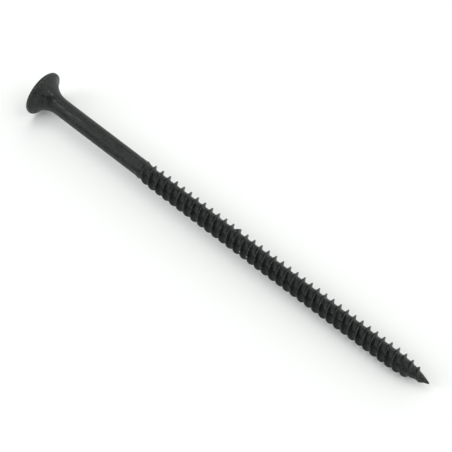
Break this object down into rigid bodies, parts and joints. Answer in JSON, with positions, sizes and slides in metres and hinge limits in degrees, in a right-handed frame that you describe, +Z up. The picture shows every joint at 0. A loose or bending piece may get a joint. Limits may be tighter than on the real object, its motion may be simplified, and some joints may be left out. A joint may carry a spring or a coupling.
{
  "type": "drywall screw",
  "caption": "Long slender black screw with a flared bugle head, a cross recess, a plain shank, a twin-start fine thread and a sharp point.",
  "frame": {"origin": "under the middle of the lying screw, on the surface that it lies on", "axes": "+X runs along the screw from its head to its point, +Z is up from the surface, and the screw's axis slopes down 1.5 degrees towards its point"},
  "size_m": [0.0964, 0.0088, 0.0088],
  "materials": {
    "black_phosphate_steel": "fine-grained black phosphate, satin, worn a little brighter along the crests and the rim"
  },
  "bodies": {
    "root": {"screw": "black_phosphate_steel"}
  },
  "joints": []
}
